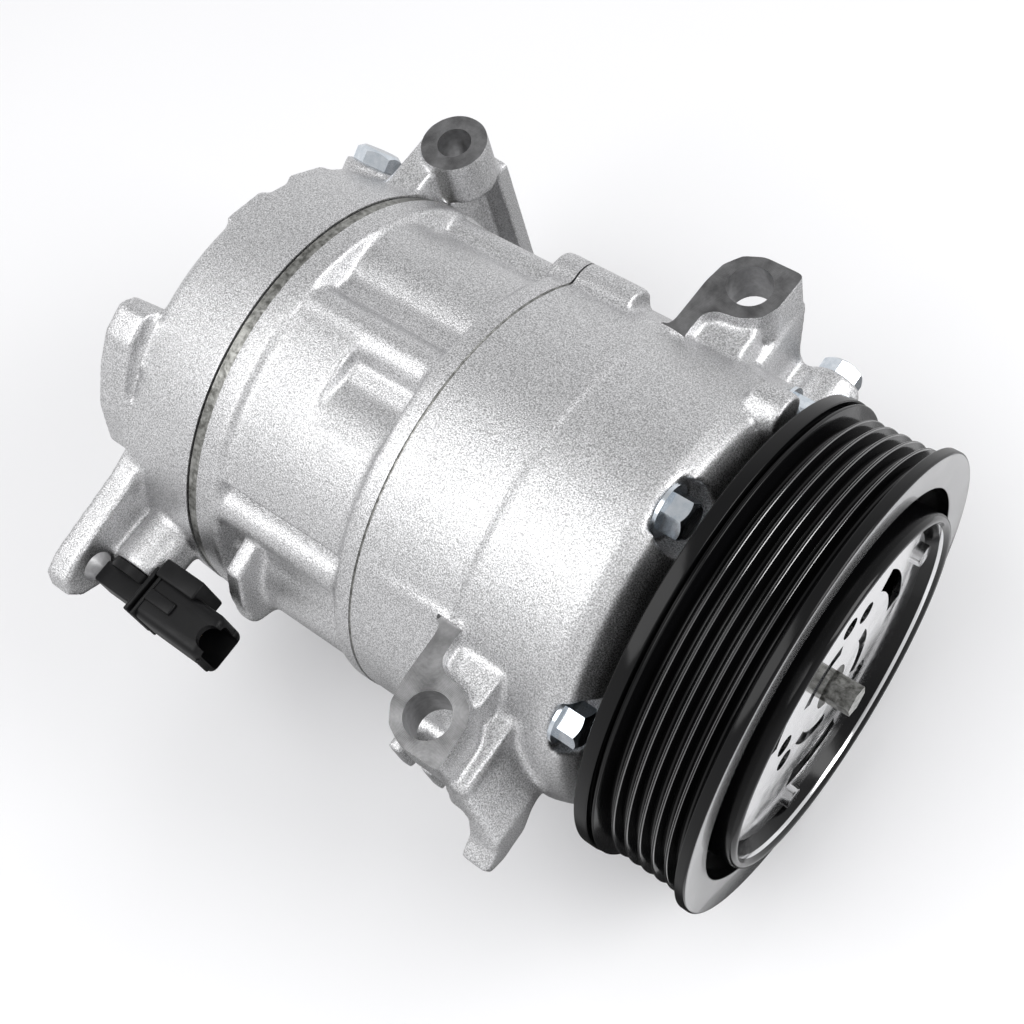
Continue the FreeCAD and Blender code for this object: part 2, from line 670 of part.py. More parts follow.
def pulley_bearing():
    races = [ring(d.ball_circle_r, d.ball_r + 0.05, (x, 0, 0)) for x in BALL_ROWS]
    sub_part("bearing_inner_ring", cut(disc(d.race_rear_x, d.race_front_x, 19.9, d.nose_r), *races))
    races = [ring(d.ball_circle_r, d.ball_r + 0.05, (x, 0, 0)) for x in BALL_ROWS]
    sub_part("bearing_outer_ring", cut(disc(d.race_rear_x, d.race_front_x, d.race_outer_r, 23.6), *races))
    balls = []
    pockets = []
    for x in BALL_ROWS:
        for i in range(BALLS_PER_ROW):
            y, z = polar(d.ball_circle_r, i * 360 / BALLS_PER_ROW)
            balls.append(ball(d.ball_r, (x, y, z)))
            pockets.append(ball(d.ball_r + 0.1, (x, y, z)))
    sub_part("bearing_balls", group(*balls))
    sub_part("bearing_cage", cut(disc(-10, 6, 22.3, 21.2), *pockets))
    seals = [disc(x, x + 0.8, 23.6, 20.0) for x in (-11.8, 7.0)]
    sub_part("bearing_seals", group(*seals))
    sub_part("bearing_snap_ring", disc(d.race_front_x, d.race_front_x + 1.2, 19.6, d.nose_r - 0.9))


def hub():
    rivet_angles = (30, 150, 270)
    front = d.hub_plate_x + d.hub_plate_thick
    cup = turned("hub_cup", [
        (2, 45), (2, d.hub_ring_r), (d.hub_lip_x - 0.8, d.hub_ring_r), (d.hub_lip_x, d.hub_ring_r - 0.8),
        (d.hub_lip_x, 45.8), (d.hub_lip_x - 1.2, 44.6), (d.hub_plate_x, 43), (d.hub_plate_x, 37),
        (d.hub_plate_x - 2, 37), (d.hub_plate_x - 2, 45),
    ])
    holes = drilled(8, 16, 2.2, rivet_angles, 40)
    sub_part("hub_ring", cut(cup, *holes))
    sub_part("damper_rubber", disc(0, 5, d.rim_inner_r, d.hub_ring_r))
    boss = disc(0, front, 10.8, 6)
    web = disc(d.hub_plate_x, front, 42, 6)
    windows = []
    for turn in (0, 120, 240):
        windows.append(sector(8, 16, 15.8, 12.4, turn - 20, 66))
        windows.append(sector(8, 16, 31.5, 25.5, turn + 18, 44))
        windows += drilled(8, 16, 2.9, (turn + 72, turn + 96), 20.6)
    sub_part("hub_plate", cut(fuse(boss, web), *windows, *drilled(8, 16, 2.2, rivet_angles, 40)))
    rivets = []
    for y, z in (polar(40, a) for a in rivet_angles):
        shank = cylinder(2.2, front - d.hub_plate_x + 2, (d.hub_plate_x - 2, y, z))
        rivets.append(fuse(shank, cylinder(2.9, 1.3, (front, y, z))))
    sub_part("hub_rivets", group(*rivets))


# ---------- control valve and its connector ----------


def control_valve():
    x, z = d.valve_x, d.valve_z
    grooves_y = (-34, -52)
    stem = cylinder(d.valve_r, 48, (x, d.valve_boss_y + 48, z), "-Y")
    cap = cylinder(7.4, 2, (x, d.valve_boss_y, z), "-Y")
    grooves = []
    rings = []
    for y in grooves_y:
        outer = cylinder(d.valve_r + 1, 2, (x, y + 1, z), "-Y")
        grooves.append(cut(outer, cylinder(d.valve_r - 1.6, 2, (x, y + 1, z), "-Y")))
        rings.append(ring(d.valve_r - 0.8, 0.8, (x, y, z), "Y"))
    bore = cylinder(d.plunger_r + d.running_gap, 20, (x, -22, z), "-Y")
    sub_part("control_valve_body", cut(fuse(stem, cap), *grooves, bore))
    sub_part("control_valve_o_rings", group(*rings))
    sub_part("control_valve_plunger", cylinder(d.plunger_r, 16, (x, -22, z), "-Y"))
    arm = box((-156.5, -80.5, 2.5), (-140, d.valve_boss_y - 2, 14))
    shell = box((-140.8, -82, 1), (-117, -69, 15.5))
    latch = box((-140.8, -70, 3), (-127, -65, 16.5))
    keyway = box((-121.5, -79, 12), (-116, -74.5, 16))
    socket = box((-132, -80.3, 2.7), (-116, -70.7, 13.8))
    sub_part("valve_connector", cut(fuse(arm, shell, latch), socket, keyway))
    pins = [box((-132, -76, z0), (-125, -75.2, z0 + 0.8)) for z0 in (5.5, 10.3)]
    sub_part("connector_pins", group(*pins))


def check_and_write():
    doc.recompute()
    failed = []
    for thing in doc.Objects:
        if {"Invalid", "Error"} & set(thing.State):
            failed.append(f"{thing.Name} {thing.State}")
    for name, thing in sub_parts.items():
        shape = thing.Shape
        if shape.isNull() or not shape.isValid() or not shape.Solids:
            failed.append(f"{name} has no valid solid")
    if failed:
        raise RuntimeError("; ".join(failed))
    os.makedirs("parts", exist_ok=True)
    for name, thing in sub_parts.items():
        thing.Shape.exportStep(f"parts/{name}.step")
        print(name, len(thing.Shape.Solids), round(thing.Shape.Volume))


front_housing()
cylinder_block()
rear_housing()
plugs()
valve_pack()
housing_bolts()
shaft_line()
swash_plate()
pistons()
pulley()
pulley_bearing()
hub()
control_valve()
check_and_write()
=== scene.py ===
import math
import bpy
import bmesh
import json
from mathutils import Matrix, Vector


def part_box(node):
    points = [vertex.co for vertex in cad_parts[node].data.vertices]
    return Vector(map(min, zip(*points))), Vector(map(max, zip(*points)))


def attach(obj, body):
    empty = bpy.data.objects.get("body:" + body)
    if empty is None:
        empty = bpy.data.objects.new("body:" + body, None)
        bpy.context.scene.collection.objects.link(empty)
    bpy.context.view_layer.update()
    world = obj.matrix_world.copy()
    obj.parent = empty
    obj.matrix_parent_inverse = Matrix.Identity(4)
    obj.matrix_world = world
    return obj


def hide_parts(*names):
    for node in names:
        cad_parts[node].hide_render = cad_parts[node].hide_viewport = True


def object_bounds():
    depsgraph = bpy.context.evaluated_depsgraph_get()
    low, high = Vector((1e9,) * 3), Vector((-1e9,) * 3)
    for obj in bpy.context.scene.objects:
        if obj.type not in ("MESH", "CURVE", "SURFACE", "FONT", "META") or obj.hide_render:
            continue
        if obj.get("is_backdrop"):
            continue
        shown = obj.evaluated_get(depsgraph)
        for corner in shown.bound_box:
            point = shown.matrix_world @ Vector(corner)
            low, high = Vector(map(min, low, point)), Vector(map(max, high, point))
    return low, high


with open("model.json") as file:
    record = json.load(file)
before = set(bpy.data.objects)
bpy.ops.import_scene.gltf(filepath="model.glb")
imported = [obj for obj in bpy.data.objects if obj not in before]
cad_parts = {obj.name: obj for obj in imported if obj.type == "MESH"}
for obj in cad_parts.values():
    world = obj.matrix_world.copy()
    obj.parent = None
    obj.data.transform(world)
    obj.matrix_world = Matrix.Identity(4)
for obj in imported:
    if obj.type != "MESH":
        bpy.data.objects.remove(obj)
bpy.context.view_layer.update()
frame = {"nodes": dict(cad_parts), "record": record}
MM = 0.001

CASTINGS = ("front_housing", "cylinder_block", "rear_housing")


def mount(name):
    return [m for m in frame["record"]["mounts"] if m["name"] == name][0]


EAR_TOP = mount("ear_plane")["pos_m"][2]
PORT_FACE = mount("port_face")["pos_m"][1]


# ---------- materials ----------


def shader(name, colour, metallic=0.0, roughness=0.5, coat=0.0):
    material = bpy.data.materials.new(name)
    material.use_nodes = True
    nodes = material.node_tree.nodes
    surface = nodes["Principled BSDF"]
    surface.inputs["Base Color"].default_value = (*colour, 1)
    surface.inputs["Metallic"].default_value = metallic
    surface.inputs["Roughness"].default_value = roughness
    surface.inputs["Coat Weight"].default_value = coat
    surface.inputs["Coat Roughness"].default_value = 0.04
    return material, nodes, material.node_tree.links, surface


def place_coordinates(nodes):
    return nodes.new("ShaderNodeTexCoord").outputs["Object"]


def noise(nodes, links, scale, detail=4.0, roughness=0.6):
    texture = nodes.new("ShaderNodeTexNoise")
    texture.inputs["Scale"].default_value = scale
    texture.inputs["Detail"].default_value = detail
    texture.inputs["Roughness"].default_value = roughness
    links.new(place_coordinates(nodes), texture.inputs["Vector"])
    return texture.outputs["Fac"]


def ramp(nodes, links, factor, low, high, start=0.3, end=0.7):
    band = nodes.new("ShaderNodeValToRGB")
    band.color_ramp.elements[0].position = start
    band.color_ramp.elements[1].position = end
    band.color_ramp.elements[0].color = (*low, 1)
    band.color_ramp.elements[1].color = (*high, 1)
    links.new(factor, band.inputs["Fac"])
    return band.outputs["Color"]


def vary(nodes, links, surface, socket, factor, low, high, start=0.3, end=0.7):
    """Drives one socket of the shader by a texture, between two shades."""
    links.new(ramp(nodes, links, factor, low, high, start, end), surface.inputs[socket])


def bump(nodes, links, surface, height, distance, strength=1.0, under=None):
    node = nodes.new("ShaderNodeBump")
    node.inputs["Distance"].default_value = distance
    node.inputs["Strength"].default_value = strength
    links.new(height, node.inputs["Height"])
    if under is not None:
        links.new(under, node.inputs["Normal"])
    links.new(node.outputs["Normal"], surface.inputs["Normal"])
    return node.outputs["Normal"]


def grey(value):
    return (value, value, value * 1.01)


def cast_alloy():
    """Shot-blasted aluminium: a fine, sparkling grain over slow changes of shade."""
    material, nodes, links, surface = shader("cast_alloy", grey(0.6), 1.0, 0.4)
    grain = noise(nodes, links, 3000, 2, 0.7)
    vary(nodes, links, surface, "Base Color", grain, grey(0.34), grey(0.9), 0.38, 0.62)
    patches = noise(nodes, links, 60, 4)
    vary(nodes, links, surface, "Roughness", patches, grey(0.34), grey(0.44))
    coarse = bump(nodes, links, surface, noise(nodes, links, 260, 3), 0.0002, 0.35)
    bump(nodes, links, surface, grain, 0.00012, 0.9, coarse)
    return material


def machined_alloy():
    """Bare aluminium with the fine arcs that a face mill leaves around the front ears."""
    material, nodes, links, surface = shader("machined_alloy", grey(0.3), 1.0, 0.3)
    ear = mount("ear_front_far")["pos_m"]
    fold = nodes.new("ShaderNodeVectorMath")
    fold.operation = "ABSOLUTE"
    links.new(place_coordinates(nodes), fold.inputs[0])
    centre = nodes.new("ShaderNodeVectorMath")
    centre.operation = "SUBTRACT"
    centre.inputs[1].default_value = (abs(ear[0]), abs(ear[1]), 0)
    links.new(fold.outputs["Vector"], centre.inputs[0])
    arcs = nodes.new("ShaderNodeTexWave")
    arcs.wave_type = "RINGS"
    arcs.rings_direction = "Z"
    arcs.inputs["Scale"].default_value = 1100
    arcs.inputs["Distortion"].default_value = 1.5
    arcs.inputs["Detail"].default_value = 3
    links.new(centre.outputs["Vector"], arcs.inputs["Vector"])
    worn = noise(nodes, links, 160, 5)
    shade = nodes.new("ShaderNodeMix")
    shade.inputs["Factor"].default_value = 0.82
    links.new(arcs.outputs["Fac"], shade.inputs["A"])
    links.new(worn, shade.inputs["B"])
    tint = ramp(nodes, links, shade.outputs["Result"], grey(0.1), grey(0.36), 0.3, 0.72)
    links.new(tint, surface.inputs["Base Color"])
    bump(nodes, links, surface, arcs.outputs["Fac"], 0.00001, 0.4)
    return material


def bored_alloy():
    """The smoother wall of a bored hole."""
    material, nodes, links, surface = shader("bored_alloy", grey(0.5), 1.0, 0.4)
    vary(nodes, links, surface, "Base Color", noise(nodes, links, 500, 4), grey(0.4), grey(0.6))
    bump(nodes, links, surface, noise(nodes, links, 1800, 2), 0.00003, 0.5)
    return material


def black_coat():
    material, nodes, links, surface = shader("black_coat", (0.003, 0.003, 0.0033), 0.0, 0.12, 0.0)
    surface.inputs["Specular IOR Level"].default_value = 0.24
    wear = noise(nodes, links, 90, 5)
    vary(nodes, links, surface, "Roughness", wear, grey(0.1), grey(0.2))
    bump(nodes, links, surface, noise(nodes, links, 500, 2), 0.00002, 0.3)
    return material


def polished_edge():
    """Black coat rubbed to a high gloss along the crests of the belt ribs."""
    material, nodes, links, surface = shader("polished_edge", (0.02, 0.02, 0.021), 0.0, 0.1, 1.0)
    vary(nodes, links, surface, "Roughness", noise(nodes, links, 300, 4), grey(0.08), grey(0.26))
    surface.inputs["Coat IOR"].default_value = 2.2
    return material


def pale_coat():
    material, nodes, links, surface = shader("pale_face", grey(0.26), 0.8, 0.22, 0.3)
    vary(nodes, links, surface, "Base Color", noise(nodes, links, 120, 4), grey(0.22), grey(0.3))
    bump(nodes, links, surface, noise(nodes, links, 900, 2), 0.00001, 0.3)
    return material


def zinc():
    material, nodes, links, surface = shader("zinc", (0.72, 0.78, 0.83), 1.0, 0.2)
    tarnish = noise(nodes, links, 400, 4)
    vary(nodes, links, surface, "Base Color", tarnish, (0.62, 0.68, 0.74), (0.84, 0.88, 0.92))
    bump(nodes, links, surface, noise(nodes, links, 700, 3), 0.00003, 0.4)
    return material


def bright_steel():
    material, nodes, links, surface = shader("bright_steel", grey(0.7), 1.0, 0.1)
    vary(nodes, links, surface, "Roughness", noise(nodes, links, 140, 4), grey(0.06), grey(0.16))
    bump(nodes, links, surface, noise(nodes, links, 50, 2), 0.0003, 0.4)
    return material


def dull_steel():
    material, nodes, links, surface = shader("dull_steel", (0.3, 0.3, 0.28), 1.0, 0.34)
    scale = noise(nodes, links, 700, 5)
    vary(nodes, links, surface, "Base Color", scale, (0.13, 0.13, 0.12), (0.42, 0.42, 0.4), 0.35, 0.65)
    bump(nodes, links, surface, noise(nodes, links, 900, 3), 0.0002, 0.7)
    return material


def black_plastic():
    material, nodes, links, surface = shader("black_plastic", (0.006, 0.006, 0.0065), 0.0, 0.4)
    surface.inputs["Specular IOR Level"].default_value = 0.22
    vary(nodes, links, surface, "Roughness", noise(nodes, links, 300, 4), grey(0.3), grey(0.44))
    bump(nodes, links, surface, noise(nodes, links, 2200, 2), 0.00003, 0.5)
    return material


def dark_rubber():
    material, nodes, links, surface = shader("dark_rubber", (0.012, 0.012, 0.012), 0.0, 0.7)
    vary(nodes, links, surface, "Roughness", noise(nodes, links, 200, 4), grey(0.6), grey(0.8))
    bump(nodes, links, surface, noise(nodes, links, 1200, 2), 0.00004, 0.5)
    return material


def pale_plastic():
    material, nodes, links, surface = shader("pale_plastic", (0.7, 0.69, 0.64), 0.0, 0.45)
    vary(nodes, links, surface, "Roughness", noise(nodes, links, 250, 3), grey(0.38), grey(0.5))
    return material


def brass():
    material, nodes, links, surface = shader("contact_brass", (0.8, 0.6, 0.3), 1.0, 0.25)
    vary(nodes, links, surface, "Roughness", noise(nodes, links, 900, 3), grey(0.2), grey(0.32))
    return material


MATERIALS = {
    "cast_alloy": cast_alloy(),
    "zinc_steel": zinc(),
    "black_coating": black_coat(),
    "bright_steel": bright_steel(),
    "black_plastic": black_plastic(),
    "seal_rubber": dark_rubber(),
    "white_plastic": pale_plastic(),
    "piston_alloy": machined_alloy(),
    "contact_brass": brass(),
    "machined_steel": dull_steel(),
}
MACHINED = MATERIALS["piston_alloy"]
PALE = pale_coat()
POLISHED = polished_edge()
BORED = bored_alloy()


def paint(thing, *materials):
    thing.data.materials.clear()
    for material in materials:
        thing.data.materials.append(material)


def paint_carried_nodes():
    for part in frame["record"]["subparts"]:
        paint(frame["nodes"][part["node"]], MATERIALS[part["material_slot"]])


# ---------- mesh helpers ----------


def new_piece(name, mesh, body, *nodes, material_slot=None):
    piece = bpy.data.objects.new(name, mesh)
    bpy.context.scene.collection.objects.link(piece)
    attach(piece, body)
    if nodes:
        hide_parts(*nodes)
    if material_slot:
        paint(piece, MATERIALS[material_slot])
    return piece


def rounded(outline, radius, steps=4):
    """The closed outline with every corner turned into a short arc-like curve."""
    result = []
    count = len(outline)
    for i, corner in enumerate(outline):
        here = Vector(corner)
        before = Vector(outline[i - 1]) - here
        after = Vector(outline[(i + 1) % count]) - here
        reach = min(radius, before.length * 0.45, after.length * 0.45)
        start = here + before.normalized() * reach
        end = here + after.normalized() * reach
        for k in range(steps + 1):
            part = k / steps
            result.append(start.lerp(here, part).lerp(here.lerp(end, part), part))
    return result


def lathe(name, outline, radius, segments=256):
    """A ring turned about X from an outline of (x, radius) corners in millimetres."""
    points = rounded(outline, radius)
    mesh = bpy.data.meshes.new(name)
    vertices = []
    for s in range(segments):
        turn = 2 * math.pi * s / segments
        vertices += [(p.x * MM, -p.y * MM * math.sin(turn), p.y * MM * math.cos(turn)) for p in points]
    count = len(points)
    faces = []
    for s in range(segments):
        a, b = s * count, ((s + 1) % segments) * count
        for i in range(count):
            j = (i + 1) % count
            faces.append((a + i, a + j, b + j, b + i))
    mesh.from_pydata(vertices, [], faces)
    tidy_normals(mesh)
    return mesh


def tidy_normals(mesh):
    work = bmesh.new()
    work.from_mesh(mesh)
    bmesh.ops.recalc_face_normals(work, faces=work.faces)
    work.to_mesh(mesh)
    work.free()
    mesh.shade_smooth()


def applied(thing):
    """The thing's mesh with its modifiers made permanent."""
    depsgraph = bpy.context.evaluated_depsgraph_get()
    mesh = bpy.data.meshes.new_from_object(thing.evaluated_get(depsgraph))
    thing.modifiers.clear()
    thing.data = mesh
    return thing


# ---------- castings ----------

# A casting is rounded all over first, a little oversize where it is machined. Then its flat faces are
# milled and its holes bored, which gives them the crisp edges of the real part.
ALLOWANCE = 1.4 * MM
VOXEL = 0.7 * MM
SMOOTHING_STEPS = 16
DRILL_OVERRUN = 3 * MM
LONGEST_HOLE = 25 * MM
ON_PLANE = 2e-5
ON_WALL = 5e-5
CAST_SHARP_ANGLE, HEAD_SHARP_ANGLE, MOULDED_SHARP_ANGLE = (math.radians(a) for a in (42, 20, 35))

# Joint faces across the shaft: (station, side, radius that is milled).
JOINT_FACES = {
    "front_housing": [(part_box("front_housing")[0].x, -1, 0.07)],
    "cylinder_block": [
        (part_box("cylinder_block")[0].x, -1, 0.07),
        (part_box("cylinder_block")[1].x, 1, 0.07),
    ],
    "rear_housing": [(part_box("head_gasket")[0].x, 1, 0.0596)],
}
# Other milled faces: (axis, position, lowest corner, highest corner).
PADS = {
    "front_housing": [
        (2, EAR_TOP, (-0.0605, 0.0439, 0.03), (-0.037, 0.078, 0.045)),
        (2, EAR_TOP, (-0.0605, -0.078, 0.03), (-0.037, -0.0439, 0.045)),
    ],
    "cylinder_block": [],
    "rear_housing": [
        (2, EAR_TOP, (-0.151, 0.0535, 0.03), (-0.129, 0.075, 0.045)),
        (1, PORT_FACE, (-0.159, 0.069, -0.036), (-0.131, 0.078, 0.026)),
    ],
}
# Holes: (mount, goes right through, opens in a milled face).
HOLES = {
    "front_housing": [("ear_front_far", True, True), ("ear_front_near", True, True)],
    "cylinder_block": [],
    "rear_housing": [("ear_rear", True, True), ("lug_rear", True, False), ("suction_port", False, True),
                     ("discharge_port", False, True), ("port_bolt", False, True)],
}


def rod(work, start, end, radius):
    start, end = Vector(start), Vector(end)
    turn = (end - start).to_track_quat("Z", "Y").to_matrix().to_4x4()
    bmesh.ops.create_cone(work, cap_ends=True, segments=72, radius1=radius, radius2=radius,
                          depth=(end - start).length, matrix=Matrix.Translation((start + end) / 2) @ turn)


def brick(work, low, high):
    low, high = Vector(low), Vector(high)
    matrix = Matrix.Translation((low + high) / 2) @ Matrix.Diagonal((*(high - low), 1))
    bmesh.ops.create_cube(work, size=1.0, matrix=matrix)


def inside(point, low, high):
    return all(a <= c <= b for a, c, b in zip(low, point, high))


def grow_faces(work, node):
    """Moves each face that will be milled outward by the allowance."""
    for vertex in work.verts:
        co = vertex.co
        for station, side, radius in JOINT_FACES[node]:
            if abs(co.x - station) < 1e-5 and math.hypot(co.y, co.z) < radius:
                co.x += side * ALLOWANCE
        for axis, position, low, high in PADS[node]:
            if abs(co[axis] - position) < 1e-5 and inside(co, low, high):
                co[axis] += ALLOWANCE


def hole_line(name):
    """A hole's inner end, its mouth, its outward direction and its radius."""
    hole = mount(name)
    out = Vector(hole["axis"])
    half = out * hole["dims"]["length_mm"] * MM / 2
    middle = Vector(hole["pos_m"])
    return middle - half, middle + half, out, hole["dims"]["r_mm"] * MM


def plug_holes(work, node):
    for name, through, milled in HOLES[node]:
        inner, mouth, out, radius = hole_line(name)
        start = inner if through else mouth - out * 5 * MM
        end = mouth + out * (ALLOWANCE if milled else 0)
        rod(work, start, end, radius + 0.5 * MM)


def machining(node):
    work = bmesh.new()
    for station, side, radius in JOINT_FACES[node]:
        rod(work, (station, 0, 0), (station + side * 4 * MM, 0, 0), radius)
    for axis, position, low, high in PADS[node]:
        low = list(low)
        low[axis] = position
        brick(work, low, high)
    cutters = [mesh_object("mill", work)]
    if HOLES[node]:
        work = bmesh.new()
        for name, through, _ in HOLES[node]:
            inner, mouth, out, radius = hole_line(name)
            start = inner - out * DRILL_OVERRUN if through else inner
            rod(work, start, mouth + out * DRILL_OVERRUN, radius)
        cutters.append(mesh_object("drill", work))
    return cutters


def mesh_object(name, work):
    mesh = bpy.data.meshes.new(name)
    work.to_mesh(mesh)
    work.free()
    thing = bpy.data.objects.new(name, mesh)
    bpy.context.scene.collection.objects.link(thing)
    return thing


def finish_of(face, node):
    """0 for a cast face, 1 for a milled one and 2 for the wall of a hole."""
    for axis, position, low, high in PADS[node]:
        flat = abs(face.center[axis] - position) < ON_PLANE and face.normal[axis] > 0.95
        if flat and inside(face.center, low, high):
            return 1
    for name, _, _ in HOLES[node]:
        inner, mouth, out, radius = hole_line(name)
        along = (face.center - inner).dot(out)
        reach = (face.center - inner - out * along).length
        on_wall = abs(reach - radius) < ON_WALL and abs(face.normal.dot(out)) < 0.2
        if on_wall and -DRILL_OVERRUN < along < LONGEST_HOLE:
            return 2
    return 0


def casting(node):
    work = bmesh.new()
    work.from_mesh(frame["nodes"][node].data)
    bmesh.ops.remove_doubles(work, verts=work.verts, dist=1e-7)
    grow_faces(work, node)
    plug_holes(work, node)
    mesh = bpy.data.meshes.new(node + "_cast")
    work.to_mesh(mesh)
    work.free()
    piece = new_piece(node + "_cast", mesh, "casing", node, material_slot="cast_alloy")
    remesh = piece.modifiers.new("skin", "REMESH")
    remesh.mode = "VOXEL"
    remesh.voxel_size = VOXEL
    smooth = piece.modifiers.new("cast_fillets", "SMOOTH")
    smooth.factor = 0.5
    smooth.iterations = SMOOTHING_STEPS
    applied(piece)
    cutters = machining(node)
    for cutter in cutters:
        cut = piece.modifiers.new(cutter.name, "BOOLEAN")
        cut.operation = "DIFFERENCE"
        cut.solver = "MANIFOLD"
        cut.object = cutter
    applied(piece)
    for cutter in cutters:
        bpy.data.objects.remove(cutter)
    piece.data.shade_smooth()
    piece.data.set_sharp_from_angle(angle=CAST_SHARP_ANGLE)
    paint(piece, MATERIALS["cast_alloy"], MACHINED, BORED)
    for face in piece.data.polygons:
        face.material_index = finish_of(face, node)


# ---------- pulley and hub ----------


RIB_CREST, RIB_FLOOR, RIB_PITCH = 59.6, 56.8, 3.56


def pulley():
    """The rim with six belt grooves, its web and the seat of its bearing."""
    crest, floor, pitch = RIB_CREST, RIB_FLOOR, RIB_PITCH
    outline = [(-16.3, 54), (-16.3, 61.8), (-12.8, 61.8), (-12.8, 59.0), (-11.6, 59.0), (-11.6, 61.5),
               (-10.9, 61.5)]
    for i in range(6):
        middle = pitch * (i - 2.5)
        outline += [(middle - 1.43, crest), (middle - 0.4, floor)]
        outline += [(middle + 0.4, floor), (middle + 1.43, crest)]
    outline += [(10.9, 61.8), (13.2, 61.8), (13.7, 61.3), (13.2, 52.5), (-1, 52.5), (-1, 31), (8, 31),
                (8, 26), (-12, 26), (-12, 31), (-6, 31), (-6, 54)]
    piece = new_piece("pulley_rim", lathe("pulley_rim", outline, 0.35), "drive", "pulley",
                      material_slot="black_coating")
    paint(piece, MATERIALS["black_coating"], PALE, POLISHED)
    for face in piece.data.polygons:
        reach = math.hypot(face.center.y, face.center.z) / MM
        front = face.normal.x > 0.8 and face.center.x > 12.8 * MM and reach > 52.5
        shoulder = crest - 0.4 < reach < crest and abs(face.center.x) < 10.5 * MM
        worn = shoulder and 0.2 < abs(face.normal.x) < 0.8
        face.material_index = 1 if front else 2 if worn else 0


def hub_ring():
    """The black cup with the bright line where its lip is rolled over."""
    outline = [(2, 45), (2, 47.5), (16.2, 47.5), (17.1, 46.8), (17.1, 45.8), (15.9, 44.6), (11, 43),
               (11, 37), (9, 37), (9, 45)]
    piece = new_piece("hub_cup", lathe("hub_cup", outline, 0.6), "drive", "hub_ring",
                      material_slot="black_coating")
    paint(piece, MATERIALS["black_coating"], MATERIALS["bright_steel"])
    for face in piece.data.polygons:
        reach = math.hypot(face.center.y, face.center.z) / MM
        rolled = 44.3 < reach < 44.9 and face.center.x > 15 * MM
        face.material_index = 1 if rolled else 0


# ---------- hexagon heads ----------

BOLT_SEAT, BOLT_END, BOLT_CIRCLE = -27.3 * MM, -154 * MM, 52 * MM
BOLTS = 6
BOLT_RADIUS = 3 * MM
FLANGE_RADIUS, FLANGE_THICKNESS = 6.5 * MM, 0.9 * MM
PLUG_RADIUS = 4 * MM
# A head's flat top as a share of its width, the slope of the chamfer below it, and its points round.
CROWN_SHARE = 0.44
CHAMFER_SLOPE = 0.75
HEAD_STEPS = 96


def hex_head(work, base, out, flats, height, turn=0.0):
    """A hexagon head with the conical chamfer that leaves an arc at the top of each side."""
    base, out = Vector(base), Vector(out).normalized()
    side = Vector((1, 0, 0)) if abs(out.x) < 0.5 else Vector((0, 0, 1))
    across = (side - out * side.dot(out)).normalized()
    other = out.cross(across)
    crown = flats * CROWN_SHARE
    rings = []
    for level in ("crown", "shoulder", "foot"):
        ring = []
        for i in range(HEAD_STEPS):
            angle = 2 * math.pi * i / HEAD_STEPS
            sector = (angle + math.pi / 6) % (math.pi / 3) - math.pi / 6
            reach = crown if level == "crown" else flats / 2 / math.cos(sector)
            drop = {"crown": 0, "shoulder": (reach - crown) * CHAMFER_SLOPE, "foot": height}[level]
            direction = across * math.cos(angle + turn) + other * math.sin(angle + turn)
            ring.append(work.verts.new(base + direction * reach + out * (height - drop)))
        rings.append(ring)
    for upper, lower in zip(rings, rings[1:]):
        for i in range(HEAD_STEPS):
            j = (i + 1) % HEAD_STEPS
            work.faces.new((upper[i], upper[j], lower[j], lower[i]))
    work.faces.new(rings[0])
    work.faces.new(rings[-1])


def finish_heads(name, work, node):
    bmesh.ops.recalc_face_normals(work, faces=work.faces)
    mesh = bpy.data.meshes.new(name)
    work.to_mesh(mesh)
    work.free()
    mesh.shade_smooth()
    mesh.set_sharp_from_angle(angle=HEAD_SHARP_ANGLE)
    new_piece(name, mesh, "casing", node, material_slot="zinc_steel")


def around(radius, angle):
    turn = math.radians(angle)
    return -radius * math.sin(turn), radius * math.cos(turn)


def through_bolts():
    """Six long bolts, each tightened to its own angle."""
    work = bmesh.new()
    for number in range(BOLTS):
        y, z = around(BOLT_CIRCLE, 360 / BOLTS * number)
        seat, flange_top = (BOLT_SEAT, y, z), (BOLT_SEAT + FLANGE_THICKNESS, y, z)
        rod(work, (BOLT_END, y, z), seat, BOLT_RADIUS)
        rod(work, seat, flange_top, FLANGE_RADIUS)
        hex_head(work, flange_top, (1, 0, 0), flats=9 * MM, height=5.7 * MM, turn=0.3 * number)
    finish_heads("through_bolts", work, "housing_bolts")


def screwed_plug(name, node, x, angle, inner, seat, flats, height):
    """A hexagon plug across the shaft: its station, its angle and its sizes, in millimetres."""
    out = Vector((0, *around(1, angle)))
    foot = Vector((x * MM, 0, 0))
    work = bmesh.new()
    rod(work, foot + out * inner * MM, foot + out * seat * MM, PLUG_RADIUS)
    hex_head(work, foot + out * seat * MM, out, flats * MM, height * MM)
    finish_heads(name, work, node)


# ---------- the control valve's connector ----------


def moulded(low, high, radius):
    """A block with every edge rounded."""
    work = bmesh.new()
    brick(work, Vector(low) * MM, Vector(high) * MM)
    bmesh.ops.bevel(work, geom=work.edges[:], offset=radius * MM, segments=4, affect="EDGES", profile=0.5)
    return mesh_object("moulded", work)


def turned_block(start, end, radius):
    work = bmesh.new()
    rod(work, Vector(start) * MM, Vector(end) * MM, radius * MM)
    return mesh_object("round", work)


